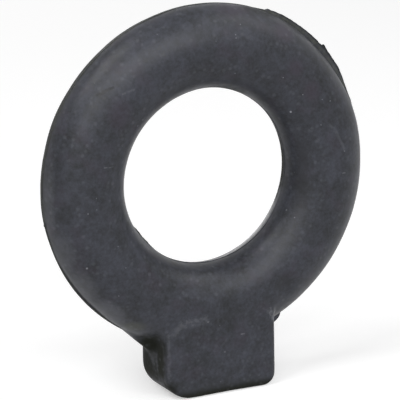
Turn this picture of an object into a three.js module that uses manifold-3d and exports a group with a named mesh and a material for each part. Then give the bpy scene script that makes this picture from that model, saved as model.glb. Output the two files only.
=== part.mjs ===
// Exhaust hanger rubber: a thick moulded ring that hooks over the pins of an exhaust bracket,
// with a square lug under it and thin flash where the two halves of the mould met.
// It is one piece of rubber, and it stands on the foot of its lug. Sizes are millimetres.
// +Z is up, the bore runs along Y, the lug's flat front faces -Y, and the origin is on the foot,
// straight below the middle of the bore.

import * as THREE from 'three';
import { mergeVertices } from 'three/addons/utils/BufferGeometryUtils.js';
import Module from 'manifold-3d';

// Driving dimensions of the ring
const ringOuterDiameter = 60;
const ringSectionWidth = 14.5;
const ringSectionDepth = 11.4;

// Driving dimensions of the lug
const lugWidth = 21.8;
const lugDrop = 8.2;
const lugFrontDepth = 5.4;
const lugRearDepth = 5.2;
const lugLeftCornerRadius = 5;
const lugRightCornerRadius = 2.3;
const lugFrontEdgeRadius = 0.9;
const lugRearEdgeRadius = 2;

// The rubber that fills the corners between the lug's sides and the ring: how far each filling
// reaches along the rim and down the lug's side. Its root is sunk in the rubber behind it.
const leftFilling = { direction: -1, rimReach: 6.4, lugReach: 2.4 };
const rightFilling = { direction: 1, rimReach: 1.6, lugReach: 1.6 };
const fillingFrontDepth = 1.4;
const fillingRearDepth = 3.2;
const fillingEdgeRadius = 1.2;
const fillingRoot = 3;

// Moulding flash in the parting plane: each sliver runs between two angles, counted from +X
// towards +Z, and its root is sunk in the rubber. A lower bluntness makes its ends steeper.
const flashThickness = 0.5;
const flashRoot = 1;
const flashStart = 0.1;
const flashBluntness = 0.6;
const upperFlash = { from: 16, to: 70, width: 0.75 };
const lowerFlash = { from: 184, to: 208, width: 0.25 };
const boreFlash = { from: 202, to: 240, width: 0.55 };

// Fineness of the curved faces
const stepsAroundRing = 96;
const stepsAroundSection = 30;
const stepsAlongFlash = 24;
const stepsPerCorner = 7;
const stepsPerEdge = 4;
const weldDistance = 1e-5;

const ringRadius = ringOuterDiameter / 2;
const boreRadius = ringRadius - ringSectionWidth;
const meanRadius = ringRadius - ringSectionWidth / 2;
const ringHeight = ringRadius + lugDrop;

const wasm = await Module();
wasm.setup();

function toSolid(geometry) {
  const bare = geometry.clone();
  bare.deleteAttribute('normal');
  bare.deleteAttribute('uv');
  const merged = mergeVertices(bare, weldDistance);
  const vertProperties = new Float32Array(merged.attributes.position.array);
  const triVerts = new Uint32Array(merged.index.array);
  return new wasm.Manifold(new wasm.Mesh({ numProp: 3, vertProperties, triVerts }));
}

function toGeometry(solid) {
  const mesh = solid.getMesh();
  const geometry = new THREE.BufferGeometry();
  geometry.setAttribute('position', new THREE.BufferAttribute(new Float32Array(mesh.vertProperties), 3));
  geometry.setIndex(new THREE.BufferAttribute(new Uint32Array(mesh.triVerts), 1));
  geometry.computeVertexNormals();
  return geometry;
}

// A shape drawn in the ring's plane, extruded from rearDepth behind it to frontDepth before it
function extrudeThroughDepth(shape, frontDepth, rearDepth, edgeRadius) {
  const geometry = new THREE.ExtrudeGeometry(shape, {
    depth: frontDepth + rearDepth - 2 * edgeRadius,
    curveSegments: stepsPerCorner,
    bevelEnabled: edgeRadius > 0,
    bevelThickness: edgeRadius,
    bevelSize: edgeRadius,
    bevelOffset: -edgeRadius,
    bevelSegments: stepsPerEdge,
  });
  geometry.rotateX(Math.PI / 2);
  geometry.translate(0, rearDepth - edgeRadius, 0);
  return geometry;
}

// The ring's round section, turned about the bore
function ringBody() {
  const profile = [];
  for (let step = 0; step <= stepsAroundSection; step++) {
    const angle = 2 * Math.PI * (step % stepsAroundSection) / stepsAroundSection;
    const radius = meanRadius + ringSectionWidth / 2 * Math.cos(angle);
    profile.push(new THREE.Vector2(radius, ringSectionDepth / 2 * Math.sin(angle)));
  }
  return new THREE.LatheGeometry(profile, stepsAroundRing);
}

// The lug's outline from the front: its hidden top follows the middle of the ring's section
function lugOutline() {
  const side = lugWidth / 2;
  const foot = -ringHeight;
  const left = lugLeftCornerRadius;
  const right = lugRightCornerRadius;
  const outline = new THREE.Shape();
  outline.absarc(-side + left, foot + left, left, Math.PI, 1.5 * Math.PI, false);
  outline.absarc(side - right, foot + right, right, -0.5 * Math.PI, 0, false);
  outline.lineTo(side, -Math.sqrt(meanRadius ** 2 - side ** 2));
  outline.lineTo(0, -meanRadius);
  outline.lineTo(-side, -Math.sqrt(meanRadius ** 2 - side ** 2));
  outline.closePath();
  return outline;
}

// Tight edges in front and soft ones behind: two blocks that share their sides
function lugBlocks() {
  const outline = lugOutline();
  const front = extrudeThroughDepth(outline, lugFrontDepth, lugFrontEdgeRadius, lugFrontEdgeRadius);
  const rear = extrudeThroughDepth(outline, lugRearEdgeRadius, lugRearDepth, lugRearEdgeRadius);
  return [front, rear];
}

// A sliver of flash along the outer rim or the bore, tapering to nothing at both ends
function flashSliver({ from, to, width }, edgeRadius, outward) {
  const start = THREE.MathUtils.degToRad(from);
  const span = THREE.MathUtils.degToRad(to - from);
  const pointAt = (share, radius) => {
    const angle = start + span * share;
    return new THREE.Vector2(radius * Math.cos(angle), radius * Math.sin(angle));
  };
  const free = [];
  const root = [];
  for (let step = 0; step <= stepsAlongFlash; step++) {
    const share = step / stepsAlongFlash;
    const reach = (width + flashStart) * Math.sin(Math.PI * share) ** flashBluntness - flashStart;
    free.push(pointAt(share, edgeRadius + outward * reach));
    root.unshift(pointAt(share, edgeRadius - outward * flashRoot));
  }
  return extrudeThroughDepth(new THREE.Shape([...free, ...root]), flashThickness / 2, flashThickness / 2, 0);
}

// A bar whose outer face cuts the corner between the lug's side and the rim. It runs on past the
// corner's ends by half its root, where it lies inside the rubber.
function cornerFilling({ direction, rimReach, lugReach }) {
  const corner = -Math.acos(lugWidth / 2 / ringRadius);
  const rimAngle = corner + rimReach / ringRadius;
  const onRim = new THREE.Vector2(Math.cos(rimAngle), Math.sin(rimAngle)).multiplyScalar(ringRadius);
  const onSide = new THREE.Vector2(lugWidth / 2, ringRadius * Math.sin(corner) - lugReach);
  const along = onSide.clone().sub(onRim).normalize();
  const inward = new THREE.Vector2(along.y, -along.x);
  const start = onRim.clone().addScaledVector(along, -fillingRoot / 2);
  const end = onSide.clone().addScaledVector(along, fillingRoot / 2);
  const points = [start, end, end.clone().addScaledVector(inward, fillingRoot),
    start.clone().addScaledVector(inward, fillingRoot)];
  const shape = new THREE.Shape(points.map((point) => new THREE.Vector2(direction * point.x, point.y)));
  return extrudeThroughDepth(shape, fillingFrontDepth, fillingRearDepth, fillingEdgeRadius);
}

const additions = [
  ...lugBlocks(),
  flashSliver(upperFlash, ringRadius, 1),
  flashSliver(lowerFlash, ringRadius, 1),
  flashSliver(boreFlash, boreRadius, -1),
  cornerFilling(leftFilling),
  cornerFilling(rightFilling),
];

let moulding = toSolid(ringBody());
for (const addition of additions) {
  moulding = moulding.add(toSolid(addition));
}

const rubber = new THREE.MeshStandardMaterial({ color: 0x45464a, roughness: 0.72, metalness: 0 });

const hangerRubber = new THREE.Mesh(toGeometry(moulding), rubber);
hangerRubber.name = 'hanger_rubber';
hangerRubber.position.z = ringHeight;

const group = new THREE.Group();
group.add(hangerRubber);

export default group;
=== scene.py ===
"""Exhaust hanger rubber: the finished look of a moulded ring with a square lug and thin flash.

The part is one piece of dark rubber. It stands on the foot of its lug, +Z is up, the bore runs
along Y and the lug's flat front faces -Y. The shape and the finish are both laid out around the
middle of the bore. Lengths are in metres, written as millimetres times MM, and the places of the
finish are in plain millimetres.
"""

import logging
import math
from collections.abc import Callable, Sequence
from dataclasses import dataclass, field
from enum import Enum
from typing import Any

import bmesh
import bpy
from mathutils import Color, Matrix, Vector, noise

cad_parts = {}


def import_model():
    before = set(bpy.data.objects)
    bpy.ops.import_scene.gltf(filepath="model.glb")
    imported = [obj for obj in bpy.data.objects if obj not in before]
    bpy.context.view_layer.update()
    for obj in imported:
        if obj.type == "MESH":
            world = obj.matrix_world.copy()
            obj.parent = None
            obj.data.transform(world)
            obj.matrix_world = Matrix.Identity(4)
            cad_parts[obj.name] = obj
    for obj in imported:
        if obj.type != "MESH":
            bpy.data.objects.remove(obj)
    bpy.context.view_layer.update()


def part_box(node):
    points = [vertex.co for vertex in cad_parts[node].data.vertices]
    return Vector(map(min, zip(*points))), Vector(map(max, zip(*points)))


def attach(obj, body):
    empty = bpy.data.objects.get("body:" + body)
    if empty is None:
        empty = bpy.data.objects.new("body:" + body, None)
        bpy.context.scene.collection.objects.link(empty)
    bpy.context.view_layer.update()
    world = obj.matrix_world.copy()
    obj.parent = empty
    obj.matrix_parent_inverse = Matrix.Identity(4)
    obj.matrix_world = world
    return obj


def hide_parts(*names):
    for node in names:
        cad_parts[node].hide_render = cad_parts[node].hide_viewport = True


BODY = "root"
NODE = "hanger_rubber"
PIECE = "hanger_rubber_moulding"

MM = 0.001
FULL_TURN = 2 * math.pi
FULL_TURN_DEGREES = 360
SCREEN_WHITE = 255

log = logging.getLogger("hanger")

Colour = tuple[float, float, float, float]
Point = tuple[float, float, float]
Shell = bmesh.types.BMesh
Socket = bpy.types.NodeSocket

# What a node's input takes: another node's socket, a number, or a colour or place
Feed = Socket | float | Sequence[float]


def linear(red: float, green: float, blue: float) -> Colour:
    """Turns a colour written as 0 to 255 screen values into a shader's linear colour.

    Args:
        red: Screen value of red.
        green: Screen value of green.
        blue: Screen value of blue.

    Returns:
        The linear colour, with an alpha of 1.
    """
    screen = Color((red / SCREEN_WHITE, green / SCREEN_WHITE, blue / SCREEN_WHITE))
    return (*screen.from_srgb_to_scene_linear(), 1.0)


def smooth_step(low: float, high: float, value: float) -> float:
    """Rises smoothly from 0 at low to 1 at high.

    Args:
        low: The value at which the result leaves 0.
        high: The value at which the result reaches 1.
        value: The value to place between them.

    Returns:
        The smoothed share.
    """
    share = min(max((value - low) / (high - low), 0), 1)
    return share * share * (3 - 2 * share)


def window(centre: float, reach: float, value: float) -> float:
    """Gives 1 at centre, falling smoothly to 0 at reach on both sides.

    Args:
        centre: Where the window is fully open.
        reach: How far from the centre it closes.
        value: The value to test.

    Returns:
        How open the window is.
    """
    return smooth_step(reach, 0, abs(value - centre))


def radius_at(place: Vector) -> float:
    """Gives a place's distance from the bore's axis."""
    return math.hypot(place.x, place.z)


def degrees_at(place: Vector) -> float:
    """Gives a place's angle about the bore's axis, in degrees from +X towards +Z."""
    return math.degrees(math.atan2(place.z, place.x)) % FULL_TURN_DEGREES


def object_from(name: str, work: Shell) -> bpy.types.Object:
    """Makes a linked object of a bmesh and frees the bmesh.

    Args:
        name: The object's name.
        work: The finished bmesh.

    Returns:
        The object, at the origin.
    """
    mesh = bpy.data.meshes.new(name)
    work.to_mesh(mesh)
    work.free()
    piece = bpy.data.objects.new(name, mesh)
    bpy.context.scene.collection.objects.link(piece)
    return piece


def joined(parts: Sequence[Shell]) -> Shell:
    """Puts several shells into one bmesh and frees the others.

    Args:
        parts: The shells.

    Returns:
        One bmesh that holds them all.
    """
    whole = bmesh.new()
    for part in parts:
        carrier = bpy.data.meshes.new("carrier")
        part.to_mesh(carrier)
        part.free()
        whole.from_mesh(carrier)
        bpy.data.meshes.remove(carrier)
    return whole


def settle_modifiers(piece: bpy.types.Object) -> None:
    """Makes what the modifiers show the object's own mesh, and removes them.

    Args:
        piece: The object to settle.
    """
    graph = bpy.context.evaluated_depsgraph_get()
    settled = bpy.data.meshes.new_from_object(piece.evaluated_get(graph))
    piece.modifiers.clear()
    old = piece.data
    piece.data = settled
    bpy.data.meshes.remove(old)
    settled.name = piece.name


def block(size: Point, middle: Point) -> Shell:
    """Makes a block with square edges.

    Args:
        size: Its lengths along X, Y and Z.
        middle: Where its middle lies.

    Returns:
        The block's closed surface.
    """
    work = bmesh.new()
    bmesh.ops.create_cube(work, size=1)
    bmesh.ops.scale(work, vec=size, verts=work.verts[:])
    bmesh.ops.translate(work, vec=middle, verts=work.verts[:])
    return work


def turn_about_bore(work: Shell, steps: int) -> None:
    """Turns the section that a bmesh holds once about the bore, into a closed surface.

    Args:
        work: The bmesh with the section.
        steps: How many steps the turn has.
    """
    bmesh.ops.spin(
        work,
        geom=work.verts[:] + work.edges[:],
        axis=(0, 1, 0),
        angle=FULL_TURN,
        steps=steps,
        use_merge=True,
    )


def round_edges(work: Shell, edges: Sequence[bmesh.types.BMEdge], radius: float,
                steps: int) -> None:
    """Rounds some edges of a shell.

    Args:
        work: The bmesh that holds the shell.
        edges: The edges to round.
        radius: The rounding's radius.
        steps: How many steps the rounding has.
    """
    bmesh.ops.bevel(
        work,
        geom=edges,
        offset=radius,
        offset_type="OFFSET",
        segments=steps,
        profile=0.5,
        affect="EDGES",
        clamp_overlap=True,
        material=-1,
    )


def relax(work: Shell, verts: Sequence[bmesh.types.BMVert]) -> None:
    """Moves some vertices halfway towards the middle of their neighbours.

    Args:
        work: The bmesh that holds them.
        verts: The vertices.
    """
    bmesh.ops.smooth_vert(work, verts=verts, factor=0.5, use_axis_x=True, use_axis_y=True,
                          use_axis_z=True)


def direction(azimuth: float, elevation: float) -> Vector:
    """Gives the direction from the part towards a camera or a lamp.

    Args:
        azimuth: Degrees from the front towards +X.
        elevation: Degrees above the floor.

    Returns:
        The unit vector.
    """
    turn = math.radians(azimuth)
    rise = math.radians(elevation)
    return Vector((math.sin(turn) * math.cos(rise), -math.cos(turn) * math.cos(rise),
                   math.sin(rise)))


class Rim(Enum):
    """The two edges of the ring on which the mould's halves met, as the sign of outwards."""

    OUTER = 1
    BORE = -1


@dataclass(frozen=True)
class Ring:
    """The thick ring: an oval section turned about the bore."""

    radius: float
    depth: float
    width: float = 14.5 * MM
    section_steps: int = 96
    turn_steps: int = 288

    @property
    def mean_radius(self) -> float:
        """The radius on which the section's middle turns."""
        return self.radius - self.width / 2

    @property
    def bore_radius(self) -> float:
        """The radius of the hole."""
        return self.radius - self.width

    def edge(self, rim: Rim) -> float:
        """The radius of one of the two rims."""
        return self.radius if rim is Rim.OUTER else self.bore_radius

    def build(self) -> Shell:
        """Turns the section about the bore.

        Returns:
            The ring's closed surface, centred on the bore.
        """
        work = bmesh.new()
        section = bmesh.ops.create_circle(work, segments=self.section_steps, radius=1)["verts"]
        bmesh.ops.scale(work, vec=(self.width / 2, self.depth / 2, 1), verts=section)
        bmesh.ops.translate(work, vec=(self.mean_radius, 0, 0), verts=section)
        turn_about_bore(work, self.turn_steps)
        return work


@dataclass(frozen=True)
class Lug:
    """The square block under the ring, with a flat front and softer edges behind.

    Its top is hidden in the ring's section, and its front left edge leans in by the draft.
    """

    width: float = 21.8 * MM
    drop: float = 8.2 * MM
    front_depth: float = 5.4 * MM
    rear_depth: float = 5.2 * MM
    hidden_rise: float = 1.25 * MM
    left_corner: float = 5 * MM
    right_corner: float = 2.3 * MM
    front_edge: float = 0.9 * MM
    rear_edge: float = 2 * MM
    left_draft: float = 0.6 * MM
    corner_steps: int = 10
    edge_steps: int = 6
    tolerance: float = 0.01 * MM

    def build(self, ring: Ring) -> Shell:
        """Shapes the block, with its top hidden inside the ring.

        Args:
            ring: The ring that carries the lug.

        Returns:
            The lug's closed surface.
        """
        foot = -(ring.radius + self.drop)
        top = self.hidden_rise - ring.mean_radius
        depth = self.front_depth + self.rear_depth
        middle = (0, (self.rear_depth - self.front_depth) / 2, (top + foot) / 2)
        work = block((self.width, depth, top - foot), middle)
        front_left = [vert for vert in work.verts if vert.co.x < 0 and vert.co.y < 0]
        bmesh.ops.translate(work, vec=(self.left_draft, 0, 0), verts=front_left)

        low = foot + self.tolerance
        front = self.tolerance - self.front_depth
        rear = self.rear_depth - self.tolerance
        for radius, steps, wanted in (
            (self.left_corner, self.corner_steps, lambda place: place.z < low and place.x < 0),
            (self.right_corner, self.corner_steps, lambda place: place.z < low and place.x > 0),
            (self.front_edge, self.edge_steps, lambda place: place.y < front),
            (self.rear_edge, self.edge_steps, lambda place: place.y > rear),
        ):
            round_edges(work, self.edges_where(work, wanted), radius, steps)
        return work

    @staticmethod
    def edges_where(work: Shell, wanted: Callable[[Vector], bool]) -> list[bmesh.types.BMEdge]:
        """Lists the edges whose two ends are both wanted."""
        return [edge for edge in work.edges if all(wanted(vert.co) for vert in edge.verts)]


@dataclass(frozen=True)
class Gusset:
    """The rubber that fills the corner between one side of the lug and the ring."""

    side: int
    rim_leg: float
    lug_leg: float
    front_depth: float = 1.4 * MM
    rear_depth: float = 3.2 * MM
    sink: float = 3 * MM
    edge: float = 1.2 * MM
    steps: int = 4

    def build(self, ring: Ring, lug: Lug) -> Shell:
        """Shapes a bar whose outer face cuts the corner off.

        Args:
            ring: The ring on one side of the corner.
            lug: The lug on the other side.

        Returns:
            The bar's closed surface.
        """
        across = lug.width / 2
        corner = Vector((across, 0, -math.sqrt(ring.radius ** 2 - across ** 2)))
        on_rim = Matrix.Rotation(-self.rim_leg / ring.radius, 3, "Y") @ corner
        on_side = corner + Vector((0, 0, -self.lug_leg))
        length = (on_rim - on_side).length
        slope = math.atan2(on_rim.z - on_side.z, on_rim.x - on_side.x)
        depth = self.front_depth + self.rear_depth
        work = block((length + self.sink, depth, self.sink), (0, 0, 0))
        outer_edges = [edge for edge in work.edges if edge.verts[0].co.z < 0 > edge.verts[1].co.z
                       and abs(edge.verts[0].co.y - edge.verts[1].co.y) < lug.tolerance]
        round_edges(work, outer_edges, self.edge, self.steps)
        shift = (0, (self.rear_depth - self.front_depth) / 2, self.sink / 2)
        bmesh.ops.translate(work, vec=shift, verts=work.verts[:])
        bmesh.ops.rotate(work, cent=(0, 0, 0), matrix=Matrix.Rotation(-slope, 3, "Y"),
                         verts=work.verts[:])
        bmesh.ops.translate(work, vec=(on_rim + on_side) / 2, verts=work.verts[:])
        bmesh.ops.scale(work, vec=(self.side, 1, 1), verts=work.verts[:])
        return work


@dataclass(frozen=True)
class Flash:
    """Thin rubber that crept out between the mould's halves along one rim of the ring.

    The outline gives how far it stands out at some angles, in degrees from +X towards +Z. Its
    free edge is fully ragged where it is ragged_from times as high as its raggedness. The
    smoothness, the step to finer detail and the layers are those of the noise behind it.
    """

    rim: Rim
    outline: Sequence[tuple[float, float]]
    line_height: float = 0.05 * MM
    root_depth: float = 0.9 * MM
    root_thickness: float = 0.56 * MM
    edge_thickness: float = 0.16 * MM
    ragged_height: float = 0.07 * MM
    ragged_length: float = 0.9 * MM
    ragged_from: float = 5
    ragged_smoothness: float = 0.8
    ragged_finer: float = 2
    ragged_layers: int = 3
    steps: int = 720

    def reach(self, degrees: float) -> float:
        """How far the flash stands out at an angle, before it is made ragged.

        Args:
            degrees: The angle from +X towards +Z.

        Returns:
            The height above the rim.
        """
        for (start, low), (end, high) in zip(self.outline, self.outline[1:]):
            if start <= degrees <= end:
                share = (degrees - start) / (end - start)
                return max(low + (high - low) * share, 0) * MM + self.line_height
        return self.line_height

    def build(self, ring: Ring) -> Shell:
        """Turns a thin tapered section about the bore and draws its free edge.

        Args:
            ring: The ring that carries the flash.

        Returns:
            The flash's closed surface, rooted inside the ring.
        """
        outwards = self.rim.value
        edge = ring.edge(self.rim)
        root = edge - outwards * self.root_depth
        work = bmesh.new()
        corners = [
            work.verts.new((root, -self.root_thickness / 2, 0)),
            work.verts.new((edge, -self.edge_thickness / 2, 0)),
            work.verts.new((edge, self.edge_thickness / 2, 0)),
            work.verts.new((root, self.root_thickness / 2, 0)),
        ]
        for start, end in zip(corners, corners[1:] + corners[:1]):
            work.edges.new((start, end))
        turn_about_bore(work, self.steps)
        middle = (root + edge) / 2
        for vert in work.verts:
            if (radius_at(vert.co) - middle) * outwards > 0:
                self.draw_edge(vert, outwards)
        return work

    def draw_edge(self, vert: bmesh.types.BMVert, outwards: int) -> None:
        """Moves one vertex of the free edge out to the flash's ragged outline.

        Args:
            vert: The vertex, still on the rim.
            outwards: The sign of the direction away from the rubber.
        """
        radius = radius_at(vert.co)
        reach = self.reach(degrees_at(vert.co))
        on_rim = Vector((vert.co.x, 0, vert.co.z)) / self.ragged_length
        height = min(reach / self.ragged_from, self.ragged_height)
        ragged = height * noise.fractal(on_rim, self.ragged_smoothness, self.ragged_finer,
                                        self.ragged_layers)
        scale = (radius + outwards * (reach + ragged)) / radius
        vert.co.x *= scale
        vert.co.z *= scale


@dataclass(frozen=True)
class Wear:
    """How the moulded shape departs from a true ring: dents, a dimple and slight waviness.

    Each dent is deepest at its angle, in degrees from +X towards +Z, and ends at its reach to both
    sides. The flat and the lip lower the rim, and the sag lowers the bore's wall.
    """

    flat_angle: float = 221
    flat_reach: float = 24
    flat_depth: float = 0.32 * MM
    lip_angle: float = 40
    lip_reach: float = 28
    lip_depth: float = 0.44 * MM
    sag_angle: float = 220
    sag_reach: float = 22
    sag_depth: float = 0.35 * MM
    sag_front: float = -2 * MM
    sag_rear: float = 0.5 * MM
    lip_shade: float = 0.25 * MM
    rim_fade: float = 5 * MM
    dimple_place: Point = (12.6 * MM, 0, -19.9 * MM)
    dimple_radius: float = 3.2 * MM
    dimple_depth: float = 0.3 * MM
    wave_length: float = 6 * MM
    wave_height: float = 0.07 * MM
    ripple_length: float = 1.3 * MM
    ripple_height: float = 0.012 * MM

    def shift(self, place: Vector, normal: Vector, ring: Ring) -> Vector:
        """Works out how far one place on the surface is moved.

        Args:
            place: The place, counted from the middle of the bore.
            normal: The surface's outward direction there.
            ring: The ring that is worn.

        Returns:
            The move.
        """
        radius = radius_at(place)
        degrees = degrees_at(place)
        at_rim = smooth_step(ring.radius - self.rim_fade, ring.radius, radius)
        inwards = Vector((-place.x, 0, -place.z)) / radius
        flat = self.flat_depth * window(self.flat_angle, self.flat_reach, degrees)
        lip = self.lip_depth * window(self.lip_angle, self.lip_reach, degrees)
        lip *= smooth_step(0, self.lip_shade, -place.y)
        at_bore = smooth_step(ring.bore_radius + self.rim_fade, ring.bore_radius, radius)
        sag = self.sag_depth * window(self.sag_angle, self.sag_reach, degrees)
        sag *= smooth_step(self.sag_front, self.sag_rear, place.y)
        move = inwards * (at_rim * (flat + lip) + at_bore * sag)
        if place.y < 0:
            from_dimple = Vector((place.x, 0, place.z)) - Vector(self.dimple_place)
            move.y += self.dimple_depth * window(0, self.dimple_radius, from_dimple.length)
        wave = noise.noise(place / self.wave_length) * self.wave_height
        ripple = noise.noise(place / self.ripple_length) * self.ripple_height
        return move + normal * (wave + ripple)


@dataclass(frozen=True)
class Fade:
    """A smooth change of a value: it gives start up to low, and end from high on."""

    low: float
    high: float
    start: float = 0
    end: float = 1


@dataclass(frozen=True)
class Noise:
    """A noise pattern: its features a millimetre, and how it is layered and bent."""

    scale: float
    detail: float
    roughness: float = 0.5
    distortion: float = 0


@dataclass(frozen=True)
class Specks:
    """Round specks in some cells of a pattern, picked by one channel of the cells' colours."""

    scale: float
    channel: int
    strength: Fade
    edge: Fade


# The colour sockets of a Mix node, which has others of the same names for numbers and places
MIX_INPUTS = (0, 6, 7)
MIX_RESULT = 2

NUMBER_OPERATIONS = ("LENGTH", "DOT_PRODUCT")
NOISE_MIDDLE = 0.5
VECTOR = "NodeSocketVector"
VALUE = "NodeSocketFloat"


class Shader:
    """A short way to write the nodes of one material, world or node group."""

    def __init__(self, tree: bpy.types.NodeTree) -> None:
        """Takes the node tree to write in."""
        self.tree = tree

    @classmethod
    def blank(cls, owner: bpy.types.Material | bpy.types.World) -> "Shader":
        """Empties the nodes of a material or a world, and takes them to write in.

        Args:
            owner: The material or the world.

        Returns:
            The writer of its nodes.
        """
        owner.use_nodes = True
        owner.node_tree.nodes.clear()
        return cls(owner.node_tree)

    def node(self, kind: str, inputs: dict[str | int, Feed] | None = None,
             **settings: Any) -> bpy.types.Node:
        """Adds a node, sets it and feeds it.

        Args:
            kind: The node's type.
            inputs: A value or a socket for each named or numbered input.
            **settings: The node's own settings.

        Returns:
            The node.
        """
        made = self.tree.nodes.new(kind)
        for name, value in settings.items():
            setattr(made, name, value)
        for key, value in (inputs or {}).items():
            if isinstance(value, Socket):
                self.tree.links.new(value, made.inputs[key])
            else:
                made.inputs[key].default_value = value
        return made

    def math(self, operation: str, *values: Feed, clamp: bool = False) -> Socket:
        """Adds a Math node and gives its result."""
        return self.node("ShaderNodeMath", dict(enumerate(values)), operation=operation,
                         use_clamp=clamp).outputs[0]

    def vector(self, operation: str, *values: Feed) -> Socket:
        """Adds a Vector Math node and gives its result, which may be a number."""
        made = self.node("ShaderNodeVectorMath", dict(enumerate(values)), operation=operation)
        return made.outputs["Value" if operation in NUMBER_OPERATIONS else "Vector"]

    def fade(self, value: Feed, fade: Fade) -> Socket:
        """Changes a value smoothly, and gives the result."""
        return self.node("ShaderNodeMapRange", {
            "Value": value, "From Min": fade.low, "From Max": fade.high,
            "To Min": fade.start, "To Max": fade.end,
        }, interpolation_type="SMOOTHSTEP").outputs["Result"]

    def noise(self, place: Feed, pattern: Noise) -> Socket:
        """Adds a noise pattern and gives its value."""
        return self.node("ShaderNodeTexNoise", {
            "Vector": place, "Scale": pattern.scale, "Detail": pattern.detail,
            "Roughness": pattern.roughness, "Distortion": pattern.distortion,
        }).outputs["Fac"]

    def specks(self, place: Feed, pattern: Specks) -> Socket:
        """Strews specks and gives their mask.

        Args:
            place: Where a point lies.
            pattern: Which specks.

        Returns:
            The mask.
        """
        cells = self.node("ShaderNodeTexVoronoi", {"Vector": place, "Scale": pattern.scale}).outputs
        channels = self.node("ShaderNodeSeparateColor", {0: cells["Color"]}).outputs
        strength = self.fade(channels[pattern.channel], pattern.strength)
        return self.math("MULTIPLY", strength, self.fade(cells["Distance"], pattern.edge))

    def mix(self, share: Feed, first: Feed, second: Feed) -> Socket:
        """Mixes two colours and gives the result."""
        inputs = dict(zip(MIX_INPUTS, (share, first, second)))
        return self.node("ShaderNodeMix", inputs, data_type="RGBA").outputs[MIX_RESULT]


class GroupMaker:
    """Base of the effects that are drawn as node groups: named inputs and outputs, made once."""

    name: str = ""
    takes: Sequence[tuple[str, str]] = ()
    gives: Sequence[tuple[str, str]] = ()

    def tree(self) -> bpy.types.NodeTree:
        """Gives the group's node tree, which is drawn the first time.

        Returns:
            The node tree.
        """
        found = bpy.data.node_groups.get(self.name)
        if found:
            return found
        tree = bpy.data.node_groups.new(self.name, "ShaderNodeTree")
        for name, kind in self.takes:
            tree.interface.new_socket(name, in_out="INPUT", socket_type=kind)
        for name, kind in self.gives:
            tree.interface.new_socket(name, in_out="OUTPUT", socket_type=kind)
        shader = Shader(tree)
        inputs = shader.node("NodeGroupInput")
        shader.node("NodeGroupOutput", self.draw(shader, inputs.outputs))
        return tree

    def draw(self, shader: Shader, given: bpy.types.NodeOutputs) -> dict[str, Socket]:
        """Draws the group's nodes.

        Args:
            shader: The group's nodes.
            given: The group's inputs, as sockets by name.

        Returns:
            The socket behind each output.
        """
        raise NotImplementedError

    def place(self, shader: Shader, **values: Feed) -> bpy.types.NodeOutputs:
        """Places the group in a material with its own values.

        Args:
            shader: The material's nodes.
            **values: A value or socket for each input, spaces in its name as underscores.

        Returns:
            The group's outputs.
        """
        named = {key.replace("_", " "): value for key, value in values.items()}
        return shader.node("ShaderNodeGroup", named, node_tree=self.tree()).outputs


class Patch(GroupMaker):
    """A soft-edged oval patch around a place: specks, stains, painted shade and painted highlight
    bands.
    """

    name = "patch"
    takes = (("Place", VECTOR), ("Centre", VECTOR), ("Reach", VECTOR), ("Wobble", VALUE))
    gives = (("Mask", VALUE),)
    waviness = Noise(1.1, 2)
    edge = Fade(1, 0.25)

    def draw(self, shader: Shader, given: bpy.types.NodeOutputs) -> dict[str, Socket]:
        """Measures the distance from the centre in shares of the reach.

        Args:
            shader: The group's nodes.
            given: The group's inputs, as sockets by name.

        Returns:
            The socket behind each output.
        """
        away = shader.vector("SUBTRACT", given["Place"], given["Centre"])
        length = shader.vector("LENGTH", shader.vector("DIVIDE", away, given["Reach"]))
        wobble = shader.math("SUBTRACT", shader.noise(given["Place"], self.waviness), NOISE_MIDDLE)
        length = shader.math("MULTIPLY_ADD", wobble, given["Wobble"], length)
        return {"Mask": shader.fade(length, self.edge)}


class Stroke(GroupMaker):
    """A thin mark between two places: scratches, painted highlights along edges and painted shade
    bands.
    """

    name = "stroke"
    takes = (("Place", VECTOR), ("Start", VECTOR), ("End", VECTOR), ("Half Width", VALUE))
    gives = (("Mask", VALUE),)
    fraying = Noise(2.5, 2)
    fraying_middle = 0.45
    edge = Fade(1.1, 0.2)

    def draw(self, shader: Shader, given: bpy.types.NodeOutputs) -> dict[str, Socket]:
        """Measures the distance from the line between the two ends.

        Args:
            shader: The group's nodes.
            given: The group's inputs, as sockets by name.

        Returns:
            The socket behind each output.
        """
        along = shader.vector("SUBTRACT", given["End"], given["Start"])
        away = shader.vector("SUBTRACT", given["Place"], given["Start"])
        run = shader.vector("DOT_PRODUCT", away, along)
        share = shader.math("DIVIDE", run, shader.vector("DOT_PRODUCT", along, along), clamp=True)
        scaled = shader.node("ShaderNodeVectorMath", {0: along, "Scale": share},
                             operation="SCALE").outputs[0]
        length = shader.vector("LENGTH", shader.vector("SUBTRACT", away, scaled))
        length = shader.math("DIVIDE", length, given["Half Width"])
        fray = shader.math("SUBTRACT", shader.noise(given["Place"], self.fraying),
                           self.fraying_middle)
        return {"Mask": shader.fade(shader.math("ADD", length, fray), self.edge)}


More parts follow.
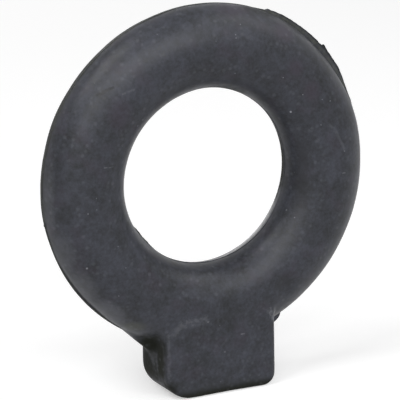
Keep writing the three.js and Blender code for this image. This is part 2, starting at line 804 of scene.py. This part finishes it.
class Dust(GroupMaker):
    """Fine dust and handling dirt on dark rubber, from soft blotches down to a sharp grain."""

    name = "dust"
    takes = (("Place", VECTOR),)
    gives = (("Blotches", VALUE), ("Clouds", VALUE), ("Grain", VALUE), ("Lint", VALUE),
             ("Height", VALUE))
    blotches = Noise(0.14, 2, 0.5, 0.6)
    clouds = Noise(0.65, 3, 0.6, 0.3)
    grain = Noise(1.8, 4, 0.66)
    fine_grain = Noise(4.5, 2, 0.6)
    fine_share = 0.5
    lint = Specks(0.8, 0, Fade(0.9, 1), Fade(0.13, 0.04))
    motes = Specks(1, 1, Fade(0.4, 1, 0, 0.17), Fade(0.5, 0.1))

    def draw(self, shader: Shader, given: bpy.types.NodeOutputs) -> dict[str, Socket]:
        """Layers noises of several sizes and strews a few specks of lint and many faint motes.

        Args:
            shader: The group's nodes.
            given: The group's inputs, as sockets by name.

        Returns:
            The socket behind each output.
        """
        place = given["Place"]
        grain = shader.noise(place, self.grain)
        fine = shader.noise(place, self.fine_grain)
        return {
            "Blotches": shader.noise(place, self.blotches),
            "Clouds": shader.noise(place, self.clouds),
            "Grain": grain,
            "Lint": shader.math("MAXIMUM", shader.specks(place, self.lint),
                                shader.specks(place, self.motes)),
            "Height": shader.math("MULTIPLY_ADD", fine, self.fine_share, grain),
        }


class PlaceOnPart:
    """Where a point lies on the part, as sockets, in millimetres from the bore's middle."""

    def __init__(self, shader: Shader, ring: Ring, centre_height: float) -> None:
        """Works the sockets out from the piece's own coordinates.

        Args:
            shader: The material's nodes.
            ring: The ring, which the distances from its rim and its bore are counted from.
            centre_height: How high the bore's middle lies above the floor.
        """
        self.point = shader.node("ShaderNodeMapping", {
            "Vector": shader.node("ShaderNodeTexCoord").outputs["Object"],
            "Location": (0, 0, -centre_height / MM),
            "Scale": (1 / MM, 1 / MM, 1 / MM),
        }).outputs[0]
        self.across, self.depth, self.height = shader.node("ShaderNodeSeparateXYZ", {
            0: self.point,
        }).outputs
        flat = shader.node("ShaderNodeCombineXYZ", {"X": self.across, "Z": self.height}).outputs[0]
        radius = shader.vector("LENGTH", flat)
        self.past_rim = shader.math("SUBTRACT", radius, ring.radius / MM)
        self.past_bore = shader.math("SUBTRACT", ring.bore_radius / MM, radius)


@dataclass(frozen=True)
class Mark:
    """A light or dark mark on the rubber, in millimetres from the bore's middle: a speck, a
    scratch, a painted highlight or a band of painted shade.

    A mark with an end is a stroke, and its reach is half its width. One without is a round speck,
    and its reach is the speck's radius.
    """

    centre: Point
    reach: float
    strength: float
    end: Point | None = None
    wobble: float = 0.9

    def mask(self, shader: Shader, point: Socket) -> Socket:
        """Draws the mark at full strength.

        Args:
            shader: The material's nodes.
            point: Where a point lies on the part.

        Returns:
            The mark's mask.
        """
        if self.end:
            return Stroke().place(shader, Place=point, Start=self.centre, End=self.end,
                                  Half_Width=self.reach)["Mask"]
        reach = (self.reach, self.reach, self.reach)
        return Patch().place(shader, Place=point, Centre=self.centre, Reach=reach,
                             Wobble=self.wobble)["Mask"]


@dataclass(frozen=True)
class Stain:
    """A soft patch around a place, in millimetres from the bore's middle: a stain, a tint, painted
    shade or a painted highlight band.
    """

    centre: Point
    reach: Point
    strength: float
    wobble: float = 0.5

    def mask(self, shader: Shader, point: Socket) -> Socket:
        """Draws the stain at full strength."""
        return Patch().place(shader, Place=point, Centre=self.centre, Reach=self.reach,
                             Wobble=self.wobble)["Mask"]


def strongest(shader: Shader, point: Socket, mask: Feed, marks: Sequence[Mark | Stain]) -> Socket:
    """Adds marks or stains to a mask, the strongest on top.

    Args:
        shader: The material's nodes.
        point: Where a point lies on the part.
        mask: The mask to add to, or 0 for a new one.
        marks: The marks or stains.

    Returns:
        The new mask.
    """
    for mark in marks:
        drawn = shader.math("MULTIPLY", mark.mask(shader, point), mark.strength)
        mask = shader.math("MAXIMUM", mask, drawn)
    return mask


@dataclass(frozen=True)
class DustyRubber:
    """The finish: dark blue-grey moulded rubber with a dusty bloom, specks and fine scratches, and
    painted shade and highlights.
    """

    name: str = "dusty_black_rubber"
    clean: Colour = linear(20, 22, 24)
    bloom: Colour = linear(59, 61, 70)
    plum: Colour = linear(58, 50, 62)
    olive: Colour = linear(76, 78, 68)
    # Colour of the painted shade in corners, at the foot, in the bore and behind the rims, also
    # used to darken the flash
    shade_and_flash: Colour = linear(14, 16, 8)
    # Colour of the light specks and scratches and of the painted highlights
    speck_and_highlight: Colour = linear(176, 178, 186)
    # Colour of the dark scratches and of the painted shade bands
    dark_mark_and_shade: Colour = linear(22, 22, 25)
    refractive_index: float = 1.5
    specular_level: float = 0.3
    worn_roughness: Fade = Fade(0.3, 0.7, 0.36, 0.48)
    # Extra roughness under the painted shade and on the flash
    shade_and_flash_roughness: float = 0.55
    grain_depth: float = 0.02 * MM
    bump_strength: float = 0.55
    light_relief: float = 0.8
    dark_relief: float = -1.5

    # How the patterns of dust, which run from 0 to 1, cover the clean rubber
    grain_fade: Fade = Fade(0.3, 0.7)
    grain_share: float = 0.32
    blotch_fade: Fade = Fade(0.32, 0.68)
    blotch_share: float = 0.28
    cloud_fade: Fade = Fade(0.3, 0.7)
    cloud_share: float = 0.36
    plum_noise: Noise = Noise(0.3, 2)
    plum_fade: Fade = Fade(0.52, 0.7, 0, 0.2)
    broken_noise: Noise = Noise(1.6, 3)
    broken_fade: Fade = Fade(0.36, 0.6, 0.25, 1)
    lint_strength: float = 0.3

    # Where the painted shade, the darker flash and the seam lie, in millimetres: heights, depths
    # and sides count from the bore's middle, the rim and the seam's root outwards from the ring's
    # edge, and the bore's flash inwards from the bore's wall
    # The next two paint shade: darker towards the lug's foot, and on the rim behind the parting
    # line at the left and the top
    foot_shade: Fade = Fade(-35.9, -37.8)
    rear_rim_shade: Fade = Fade(-1.2, 1, 0, 0.8)
    left_side: Fade = Fade(-14, -20)
    top_side: Fade = Fade(20, 26)
    top_right_end: Fade = Fade(11, 5)
    near_rim: Fade = Fade(-1.4, -0.7)
    bore_flash: Fade = Fade(0.08, 0.2, 0, 0.9)
    rim_flash: Fade = Fade(0.35, 0.6, 0, 0.7)
    upper_half: Fade = Fade(-5, 0)
    seam_line: Fade = Fade(0.32, 0.1)
    seam_root: Fade = Fade(-0.5, 0)
    seam_tip: Fade = Fade(0.5, 0.2)
    seam_noise: Noise = Noise(1.1, 4, 0.7)
    seam_fade: Fade = Fade(0.35, 0.62, 0.1, 0.6)

    # Light specks and scratches, then painted highlights
    specks_and_highlights: Sequence[Mark] = (
        Mark((14.54, -4.25, 10.47), 0.26, 0.8),
        Mark((21.57, -5.49, 11.81), 0.2, 0.6),
        Mark((19.77, -5.55, 7.78), 0.18, 0.4),
        Mark((24.44, -5.49, 2.56), 0.22, 0.35),
        Mark((-24.18, -4.6, -11.95), 0.3, 0.6),
        Mark((14.51, -2.6, -7.49), 0.2, 0.5),
        Mark((-18.82, -5.19, -17.42), 0.18, 0.35),
        Mark((24.0, -5.53, -1.38), 0.16, 0.35, (24.6, -5.5, -1.38)),
        Mark((-24.1, -5.55, -2.24), 0.18, 0.35),
        Mark((15.34, -3.97, -8.62), 0.17, 0.35),
        Mark((4.0, -5.4, -27.81), 0.16, 0.25, (4.6, -5.4, -27.81)),
        Mark((0.86, -5.4, -30.56), 0.25, 0.14),
        Mark((-2.35, -5.47, -24.55), 0.3, 0.2),
        Mark((-14.19, -4.4, 11.37), 0.3, 0.2),
        Mark((-13.22, -4.32, 12.27), 0.3, 0.2),
        Mark((-17.24, -5.5, 17.4), 0.3, 0.07, (-15.31, -5.66, 17.89)),
        Mark((-20.94, -5.6, 5.27), 0.16, 0.16, (-19.24, -5.21, 5.13)),
        Mark((21.47, -5.67, 7.6), 0.4, 0.05, (22.45, -5.67, 6.6)),
        Mark((22.45, -5.67, 6.6), 0.4, 0.06, (24.53, -5.47, 2.72)),
        # Painted light: a reflection streak down the lug's left side, highlights along the lug's
        # front edges, along the crease at its top left and at its top right corner, and a faint
        # highlight down the right rim
        Mark((-10.9, 2.7, -29.8), 0.8, 0.09, (-10.6, -0.6, -32.2)),
        Mark((-9.8, -5.3, -26), 0.5, 0.07, (-9.8, -5.3, -34.5)),
        Mark((-8.8, -5.4, -25.8), 0.9, 0.08, (-7.2, -5.4, -24.4)),
        Mark((-7.2, -5.43, -24.4), 1.1, 0.1, (-3, -5.6, -24)),
        Mark((9.6, -5.4, -24.4), 0.8, 0.2, (10.7, -5, -26.2)),
        Mark((10.8, -5, -26), 0.5, 0.1, (10.8, -5, -33)),
        Mark((27.6, -3.8, 9), 2.2, 0.04, (27.2, -3.8, -8)),
    )
    # Painted highlight band just inside the lower-left rim
    highlight_bands: Sequence[Stain] = (
        Stain((-29.4, -2, 0), (3, 1.4, 9), 0.06),
        Stain((-27.4, -2.8, -9.5), (3.2, 2.4, 6), 0.07),
        Stain((-24.4, -3, -15.8), (3.8, 2.6, 5), 0.09),
        Stain((-19.8, -3.1, -21), (5, 2.6, 4), 0.09),
    )
    # Painted shade on the lug's left side and its corner with the ring, at the lug's foot, in the
    # bore's rear half and along the upper right rim at the lip
    shaded_places: Sequence[Stain] = (
        Stain((-11.6, -1.5, -28.4), (3.6, 8, 4), 1),
        Stain((-10.5, -3.2, -31), (1, 2.4, 8), 1),
        Stain((-11.4, 1.5, -35), (2.6, 9, 10), 1),
        Stain((15.4, 1.8, 2), (2.5, 2.6, 15), 1),
        Stain((3, 0.5, 15.2), (13, 4, 2.4), 0.7),
        Stain((1, 2.2, -15.6), (16, 1.7, 2.5), 1),
        Stain((-7.5, 2, -37.5), (5, 9, 2.6), 1),
        Stain((-9.2, -4.2, -36), (2, 2.8, 3), 0.9),
        Stain((10.3, -1.2, 28.2), (6, 2, 4), 0.5),
        Stain((17.2, -1.2, 24.6), (5, 2, 4), 0.45),
        Stain((22.5, -1.2, 19.8), (4, 2, 4), 0.35),
    )
    olive_places: Sequence[Stain] = (
        Stain((-15.4, -3.5, -24), (3, 3, 1.5), 0.4),
        Stain((-2, -4.8, -37.9), (7, 2, 0.8), 0.4),
    )
    plum_places: Sequence[Stain] = (
        Stain((14.9, -5.6, 18.4), (2.2, 3, 2.2), 0.4),
        Stain((17.9, -5.6, 14), (2.4, 3, 2.8), 0.4),
        Stain((13.6, -3.9, 24.4), (3.4, 3, 2.6), 0.45),
        Stain((-17.9, -5.6, 14), (3, 3, 4), 0.35),
        Stain((4.7, -2, 29.1), (5, 4, 2.5), 0.4),
    )
    dark_marks_and_shade: Sequence[Mark] = (
        Mark((-21.36, -4.24, 17.44), 0.4, 0.85, (-20.3, -4.6, 17.7)),
        Mark((-20.5, -4.6, 17.9), 0.4, 0.85, (-18.76, -4.95, 18.47)),
        # Painted shade: in the dimple, in a band down the left rim and in a broad band beside the
        # bore's right edge
        Mark((12.7, -5.6, -19.7), 2.6, 0.4),
        Mark((-28.6, -3, 6), 1.3, 0.15, (-28.6, -3, -6)),
        Mark((17.2, -3.6, 4), 2.4, 0.5, (16.6, -3.8, -6)),
    )

    def build(self, ring: Ring, centre_height: float) -> bpy.types.Material:
        """Draws the material.

        Args:
            ring: The ring that it covers.
            centre_height: How high the bore's middle lies above the floor.

        Returns:
            The material.
        """
        material = bpy.data.materials.new(self.name)
        shader = Shader.blank(material)
        place = PlaceOnPart(shader, ring, centre_height)
        dust = Dust().place(shader, Place=place.point)
        light = self.specks_and_highlights_mask(shader, place, dust)
        dark = strongest(shader, place.point, 0.0, self.dark_marks_and_shade)
        # Painted shade and the darker flash, which are also made rougher
        shade_and_flash = self.shade_and_flash_mask(shader, place)
        worn = shader.fade(dust["Grain"], self.worn_roughness)
        relief = shader.math("MULTIPLY_ADD", light, self.light_relief, dust["Height"])
        bump = shader.node("ShaderNodeBump", {
            "Strength": self.bump_strength,
            "Distance": self.grain_depth,
            "Height": shader.math("MULTIPLY_ADD", dark, self.dark_relief, relief),
        })
        surface = shader.node("ShaderNodeBsdfPrincipled", {
            "Base Color": self.colour(shader, place, dust, shade_and_flash, light, dark),
            "Roughness": shader.math("MULTIPLY_ADD", shade_and_flash, self.shade_and_flash_roughness, worn, clamp=True),
            "IOR": self.refractive_index,
            "Specular IOR Level": self.specular_level,
            "Normal": bump.outputs[0],
        })
        shader.node("ShaderNodeOutputMaterial", {"Surface": surface.outputs[0]})
        return material

    def specks_and_highlights_mask(self, shader: Shader, place: PlaceOnPart,
                   dust: bpy.types.NodeOutputs) -> Socket:
        """Marks the broken light specks, scratches and painted highlights, the lint and the painted
        highlight bands.

        Args:
            shader: The material's nodes.
            place: Where on the piece a point lies.
            dust: The dust's masks.

        Returns:
            The mask.
        """
        marks = strongest(shader, place.point, 0.0, self.specks_and_highlights)
        broken = shader.fade(shader.noise(place.point, self.broken_noise), self.broken_fade)
        lint = shader.math("MULTIPLY", dust["Lint"], self.lint_strength)
        light = shader.math("MAXIMUM", shader.math("MULTIPLY", marks, broken), lint)
        return shader.math("ADD", light, strongest(shader, place.point, 0.0, self.highlight_bands))

    def colour(self, shader: Shader, place: PlaceOnPart, dust: bpy.types.NodeOutputs,
               shade_and_flash: Socket, light: Socket, dark: Socket) -> Socket:
        """Mixes the rubber, its dust, its stains, its marks, the painted shade and the painted
        highlights.

        Args:
            shader: The material's nodes.
            place: Where on the piece a point lies.
            dust: The dust's masks.
            shade_and_flash: The mask of the painted shade in the corners beside the lug, at its
                foot, in the bore's rear half and behind the rims, and of the darker flash.
            light: The mask of the light specks and scratches, the lint and the painted highlights.
            dark: The mask of the dark scratches and the painted shade.

        Returns:
            The base colour.
        """
        cover = shader.math("MULTIPLY", shader.fade(dust["Blotches"], self.blotch_fade),
                            self.blotch_share)
        cover = shader.math("MULTIPLY_ADD", shader.fade(dust["Grain"], self.grain_fade),
                            self.grain_share, cover)
        cover = shader.math("MULTIPLY_ADD", shader.fade(dust["Clouds"], self.cloud_fade),
                            self.cloud_share, cover)
        tint = shader.fade(shader.noise(place.point, self.plum_noise), self.plum_fade)
        plum = strongest(shader, place.point, tint, self.plum_places)
        seam = self.seam_mask(shader, place)
        olive = strongest(shader, place.point, seam, self.olive_places)
        colour = shader.mix(cover, self.clean, self.bloom)
        # Painted shade and painted highlights are mixed in here with the real tints and marks
        for share, shade in ((plum, self.plum), (olive, self.olive), (shade_and_flash, self.shade_and_flash),
                             (light, self.speck_and_highlight), (dark, self.dark_mark_and_shade)):
            colour = shader.mix(share, colour, shade)
        return colour

    def shade_and_flash_mask(self, shader: Shader, place: PlaceOnPart) -> Socket:
        """Paints shade at the lug's foot, on the rim behind the parting line, beside the lug and in
        the bore's rear half, and darkens the flash.

        Args:
            shader: The material's nodes.
            place: Where on the piece a point lies.

        Returns:
            The mask.
        """
        on_left = shader.fade(place.across, self.left_side)
        on_top = shader.math("MULTIPLY", shader.fade(place.height, self.top_side),
                             shader.fade(place.across, self.top_right_end))
        on_rim = shader.math("MULTIPLY", shader.fade(place.past_rim, self.near_rim),
                             shader.math("MAXIMUM", on_left, on_top))
        # Painted shade on the rim behind the parting line
        rear_rim = shader.math("MULTIPLY", shader.fade(place.depth, self.rear_rim_shade), on_rim)
        # The outer flash is darker in the upper half
        rim_flash = shader.math("MULTIPLY", shader.fade(place.past_rim, self.rim_flash),
                                shader.fade(place.height, self.upper_half))
        # Painted shade, darker towards the lug's foot
        mask = shader.fade(place.height, self.foot_shade)
        for part in (rear_rim, rim_flash, shader.fade(place.past_bore, self.bore_flash)):
            mask = shader.math("MAXIMUM", mask, part)
        return strongest(shader, place.point, mask, self.shaded_places)

    def seam_mask(self, shader: Shader, place: PlaceOnPart) -> Socket:
        """Marks the line where the mould's halves met, with the dusty root of the flash.

        Args:
            shader: The material's nodes.
            place: Where on the piece a point lies.

        Returns:
            The mask.
        """
        mask = shader.fade(shader.noise(place.point, self.seam_noise), self.seam_fade)
        for value, fade in ((shader.math("ABSOLUTE", place.depth), self.seam_line),
                            (place.past_rim, self.seam_root), (place.past_rim, self.seam_tip)):
            mask = shader.math("MULTIPLY", mask, shader.fade(value, fade))
        return mask


@dataclass
class HangerRubber:
    """The one moulded piece: ring, lug, corner fillings and flash."""

    ring: Ring
    centre_height: float
    lug: Lug = field(default_factory=Lug)
    gussets: Sequence[Gusset] = (
        Gusset(-1, rim_leg=6.4 * MM, lug_leg=2.4 * MM),
        Gusset(1, rim_leg=1.6 * MM, lug_leg=1.6 * MM),
    )
    wear: Wear = field(default_factory=Wear)
    finish: DustyRubber = field(default_factory=DustyRubber)
    flashes: Sequence[Flash] = (
        Flash(Rim.OUTER, (
            (12, 0), (16, 0.25), (24, 0.3), (28, 0.5), (32.3, 0.75), (35.4, 0.75), (38.8, 0.8),
            (40.6, 1), (41.4, 1.1), (42, 0.65), (45.5, 0.65), (53, 0.6), (60, 0.6), (66, 0.5),
            (67, 0.17), (71, 0), (188, 0), (189.4, 0.25), (190.2, 0.05), (196, 0),
            (286, 0), (287, 2.4), (292, 2), (294.9, 1.45), (297.2, 1.1), (298.5, 0.4), (300, 0),
        )),
        Flash(Rim.BORE, (
            (203, 0), (208, 0.12), (211, 0.32), (216, 0.34), (224, 0.3), (231, 0.12), (240, 0),
        )),
    )
    weld_distance: float = 0.001 * MM
    voxel: float = 0.32 * MM
    smoothing_turns: int = 3
    fillet_turns: int = 14
    fillet_reach: float = 3.6 * MM
    crease_degrees: float = 38
    # The fillets stay behind the lug's front by this many radii of its front edge
    fillet_clearance: float = 1.5

    def build(self) -> bpy.types.Object:
        """Builds, shapes and dresses the piece.

        Returns:
            The finished object.
        """
        piece = self.body()
        log.info("body of %d faces", len(piece.data.polygons))
        self.soften(piece)
        self.add_flash(piece)
        self.place_on_foot(piece)
        piece.data.polygons.foreach_set("use_smooth", [True] * len(piece.data.polygons))
        piece.data.set_sharp_from_angle(angle=math.radians(self.crease_degrees))
        piece.data.materials.clear()
        piece.data.materials.append(self.finish.build(self.ring, self.centre_height))
        return piece

    def body(self) -> bpy.types.Object:
        """Melts the ring, the lug and the corner fillings into one even surface.

        Returns:
            The body, centred on the bore.
        """
        gussets = [gusset.build(self.ring, self.lug) for gusset in self.gussets]
        whole = joined([self.ring.build(), self.lug.build(self.ring), *gussets])
        bmesh.ops.remove_doubles(whole, verts=whole.verts[:], dist=self.weld_distance)
        bmesh.ops.recalc_face_normals(whole, faces=whole.faces[:])
        piece = object_from(PIECE, whole)
        melt = piece.modifiers.new("melt", "REMESH")
        melt.mode = "VOXEL"
        melt.voxel_size = self.voxel
        settle_modifiers(piece)
        return piece

    def soften(self, piece: bpy.types.Object) -> None:
        """Smooths the surface, fills the corners beside the lug and adds the wear.

        Args:
            piece: The melted body.
        """
        work = bmesh.new()
        work.from_mesh(piece.data)
        for _ in range(self.smoothing_turns):
            relax(work, work.verts[:])
        self.fill_corners(work)
        work.normal_update()
        moves = [self.wear.shift(vert.co, vert.normal, self.ring) for vert in work.verts]
        for vert, move in zip(work.verts, moves):
            vert.co += move
        work.to_mesh(piece.data)
        work.free()

    def fill_corners(self, work: Shell) -> None:
        """Relaxes the corners beside the lug, and their middle the most.

        Args:
            work: The bmesh of the body.
        """
        corner = [vert for vert in work.verts if self.joint_share(vert.co) > 0]
        for turn in range(self.fillet_turns):
            limit = turn / self.fillet_turns
            relax(work, [vert for vert in corner if self.joint_share(vert.co) > limit])

    def joint_share(self, place: Vector) -> float:
        """How much a place belongs to the corner between the lug's sides and the ring.

        Args:
            place: A place counted from the middle of the bore.

        Returns:
            1 in the corner, and 0 well away from it.
        """
        beside = abs(place.x) - self.lug.width / 2
        below = radius_at(place) - self.ring.radius
        depth = self.lug.front_depth - self.fillet_clearance * self.lug.front_edge
        if place.y < -depth or place.z > 0:
            return 0
        return smooth_step(self.fillet_reach, 0, math.hypot(beside, below))

    def add_flash(self, piece: bpy.types.Object) -> None:
        """Joins the flash of both rims to the body.

        Args:
            piece: The softened body.
        """
        whole = joined([flash.build(self.ring) for flash in self.flashes])
        bmesh.ops.recalc_face_normals(whole, faces=whole.faces[:])
        slivers = object_from("flash", whole)
        join = piece.modifiers.new("flash", "BOOLEAN")
        join.operation = "UNION"
        join.solver = "EXACT"
        join.object = slivers
        settle_modifiers(piece)
        bpy.data.objects.remove(slivers)

    def place_on_foot(self, piece: bpy.types.Object) -> None:
        """Lifts the mesh so that the lug's foot stands on the floor.

        Args:
            piece: The piece, centred on the bore.
        """
        piece.data.transform(Matrix.Translation((0, 0, self.centre_height)))
        lowest = min(vert.co.z for vert in piece.data.vertices)
        log.info("lowest point %.3f mm", lowest / MM)


@dataclass(frozen=True)
class Camera:
    """The camera, looking from the photograph's side. Angles are in degrees.

    The lens and the sensor are in millimetres, as Blender counts them.
    """

    azimuth: float = -25.27
    elevation: float = 14.88
    roll: float = -0.89
    distance: float = 399.5 * MM
    lens: float = 209
    sensor_width: float = 36
    clip_start: float = 10 * MM
    aim_right: float = -0.774 * MM
    aim_up: float = -4.22 * MM

    def build(self, centre: Vector) -> None:
        """Adds the camera and makes it the scene's own.

        Args:
            centre: The middle of the bore, which the distance is counted from.
        """
        back = direction(self.azimuth, self.elevation)
        turn = math.radians(self.azimuth)
        rolled = Matrix.Rotation(math.radians(self.roll), 3, back)
        right = rolled @ Vector((math.cos(turn), math.sin(turn), 0))
        up = back.cross(right)
        eye = centre + back * self.distance
        aim = centre + right * self.aim_right + up * self.aim_up
        back = (eye - aim).normalized()
        right = up.cross(back).normalized()
        up = back.cross(right)
        data = bpy.data.cameras.new("camera")
        data.lens = self.lens
        data.sensor_width = self.sensor_width
        data.clip_start = self.clip_start
        camera = bpy.data.objects.new("camera", data)
        bpy.context.scene.collection.objects.link(camera)
        turned = Matrix((right, up, back)).transposed()
        camera.matrix_world = Matrix.Translation(eye) @ turned.to_4x4()
        bpy.context.scene.camera = camera


@dataclass(frozen=True)
class Softbox:
    """A square soft lamp, placed by its direction and distance from the part."""

    name: str
    azimuth: float
    elevation: float
    distance: float
    size: float
    power: float

    def build(self, centre: Vector) -> None:
        """Adds the lamp, turned towards the part.

        Args:
            centre: What the lamp points at.
        """
        back = direction(self.azimuth, self.elevation)
        data = bpy.data.lights.new(self.name, "AREA")
        data.shape = "SQUARE"
        data.size = self.size
        data.energy = self.power
        lamp = bpy.data.objects.new(self.name, data)
        lamp.location = centre + back * self.distance
        lamp.rotation_euler = back.to_track_quat("Z", "Y").to_euler()
        bpy.context.scene.collection.objects.link(lamp)


@dataclass(frozen=True)
class Studio:
    """A plain pale floor, a white surround and soft lamps."""

    floor_half: float = 2.5
    floor_colour: Colour = (0.5, 0.5, 0.5, 1)
    floor_glow: float = 0.46
    floor_seen: Colour = (0.7, 0.7, 0.7, 1)
    surround_level: float = 0.05
    surround_colour: Colour = (1, 1, 1, 1)
    lamps: Sequence[Softbox] = (
        Softbox("front left", -28, 28, 0.9, 0.45, 3),
        Softbox("front right", 8, 28, 0.9, 0.45, 2.6),
        Softbox("high left", -75, 55, 0.9, 0.45, 4),
        Softbox("high right", 60, 46, 0.9, 0.45, 1.9),
        Softbox("rear", 175, 10, 0.9, 0.6, 3),
    )

    def build(self, centre: Vector) -> None:
        """Builds the floor, the surround and the lamps.

        Args:
            centre: The middle of the bore.
        """
        self.floor()
        self.surround()
        for lamp in self.lamps:
            lamp.build(centre)

    @staticmethod
    def seen_directly(shader: Shader) -> Socket:
        """Tells rays of the camera, and those mirrored or bent by a surface, from others.

        Args:
            shader: The nodes of the floor or the world.

        Returns:
            1 where the ray is one of these, and 0 elsewhere.
        """
        path = shader.node("ShaderNodeLightPath").outputs
        seen = shader.math("ADD", path["Is Camera Ray"], path["Is Glossy Ray"], clamp=True)
        return shader.math("ADD", seen, path["Is Transmission Ray"], clamp=True)

    def floor(self) -> bpy.types.Object:
        """Makes the floor, which shows near white and keeps the part's shadow.

        Returns:
            The floor.
        """
        work = bmesh.new()
        bmesh.ops.create_grid(work, x_segments=1, y_segments=1, size=self.floor_half)
        floor = object_from("floor", work)
        material = bpy.data.materials.new("pale_floor")
        shader = Shader.blank(material)
        plain = shader.node("ShaderNodeBsdfDiffuse", {"Color": self.floor_colour})
        lit = shader.node("ShaderNodeBsdfDiffuse", {"Color": self.floor_seen})
        glow = shader.node("ShaderNodeEmission", {"Strength": self.floor_glow})
        bright = shader.node("ShaderNodeAddShader", {0: lit.outputs[0], 1: glow.outputs[0]})
        mixed = shader.node("ShaderNodeMixShader", {
            0: self.seen_directly(shader), 1: plain.outputs[0], 2: bright.outputs[0],
        })
        shader.node("ShaderNodeOutputMaterial", {"Surface": mixed.outputs[0]})
        floor.data.materials.append(material)
        return floor

    def surround(self) -> None:
        """Makes the world: white where it is seen, and softer as a light."""
        world = bpy.data.worlds.new("surround")
        shader = Shader.blank(world)
        level = shader.math("MULTIPLY_ADD", self.seen_directly(shader), 1 - self.surround_level,
                            self.surround_level)
        background = shader.node("ShaderNodeBackground", {
            "Color": self.surround_colour, "Strength": level,
        })
        shader.node("ShaderNodeOutputWorld", {"Surface": background.outputs[0]})
        bpy.context.scene.world = world


def main() -> None:
    """Builds the studio and the part, and reports each piece."""
    logging.basicConfig(level=logging.INFO, format="%(name)s: %(message)s")
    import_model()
    low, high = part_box(NODE)
    radius = (high[0] - low[0]) / 2
    centre = Vector((0, 0, high[2] - radius))

    Camera().build(centre)
    Studio().build(centre)

    hanger = HangerRubber(Ring(radius, high[1] - low[1]), centre.z)
    piece = hanger.build()
    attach(piece, BODY)
    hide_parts(NODE)
    log.info("%s: %d faces", piece.name, len(piece.data.polygons))

    bpy.context.scene.view_settings.view_transform = "Standard"


if __name__ == "__main__":
    main()
